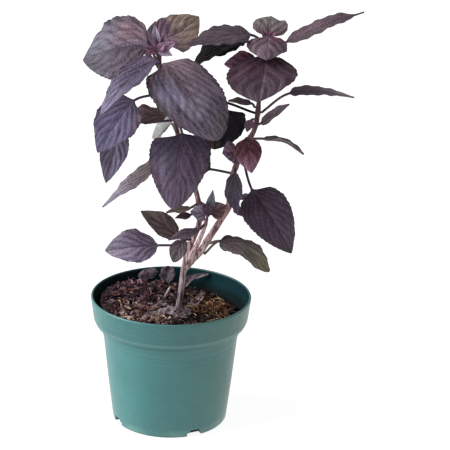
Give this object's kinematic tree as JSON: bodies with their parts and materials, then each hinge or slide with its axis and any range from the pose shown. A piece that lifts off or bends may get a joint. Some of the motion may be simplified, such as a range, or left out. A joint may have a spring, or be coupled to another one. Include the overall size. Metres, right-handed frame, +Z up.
{
  "type": "potted purple basil",
  "caption": "Purple-leaved basil plant with forked stems and toothed leaves, growing in soil in a round green nursery pot with a flared rim band and drainage notches at its foot.",
  "frame": {"origin": "centre of the pot's flat underside", "axes": "+Z up along the pot's axis, +X to the right and -Y towards the front, the side the picture shows"},
  "size_m": [0.1894, 0.114, 0.2981],
  "materials": {
    "pot": "satin",
    "soil": "matte",
    "stem": "satin",
    "leaf_dark": "satin",
    "leaf_brown": "satin",
    "leaf_lilac": "satin",
    "shoot": "satin",
    "dead_stub": "matte"
  },
  "bodies": {
    "root": {"pot": "pot", "soil": "soil", "stems": "stem", "cut_stub": "dead_stub", "leaf_left_crown_outer": "leaf_dark", "leaf_left_crown_back": "leaf_brown", "leaf_left_crown_small": "leaf_dark", "leaf_left_crown_narrow": "leaf_lilac", "leaf_left_front_large": "leaf_dark", "leaf_left_hanging": "leaf_dark", "leaf_left_brown": "leaf_brown", "leaf_left_low_tip": "leaf_dark", "leaf_centre_large": "leaf_dark", "leaf_left_pale": "leaf_lilac", "leaf_left_back_upper": "leaf_dark", "leaf_left_back_crown": "leaf_dark", "leaf_left_slender": "leaf_dark", "leaf_left_back_middle": "leaf_dark", "leaf_left_olive": "leaf_brown", "leaf_left_young": "leaf_brown", "leaf_low_left": "leaf_dark", "leaf_low_left_upper": "leaf_brown", "leaf_low_small": "leaf_dark", "leaf_low_crinkled": "leaf_dark", "leaf_low_right": "leaf_dark", "leaf_low_right_lower": "leaf_brown", "leaf_right_large": "leaf_dark", "leaf_right_hanging": "leaf_dark", "leaf_centre_back": "leaf_dark", "leaf_right_back_low": "leaf_dark", "leaf_right_node_small": "leaf_dark", "leaf_right_thin": "leaf_dark", "leaf_right_red": "leaf_brown", "leaf_right_red_side": "leaf_dark", "leaf_centre_shaded": "leaf_dark", "leaf_right_narrow": "leaf_dark", "leaf_right_young": "leaf_brown", "leaf_right_bud_lower": "leaf_dark", "leaf_right_bud_upper": "leaf_dark", "leaf_right_back_upper": "leaf_dark", "leaf_right_front_large": "leaf_dark", "leaf_right_front_side": "leaf_dark", "leaf_right_crown_left": "leaf_dark", "leaf_right_crown_under": "leaf_dark", "leaf_right_crown_back": "leaf_brown", "leaf_right_crown_front": "leaf_lilac", "leaf_right_crown_long": "leaf_dark", "tip_left": "shoot", "tip_middle": "shoot", "tip_right": "shoot"}
  },
  "joints": []
}
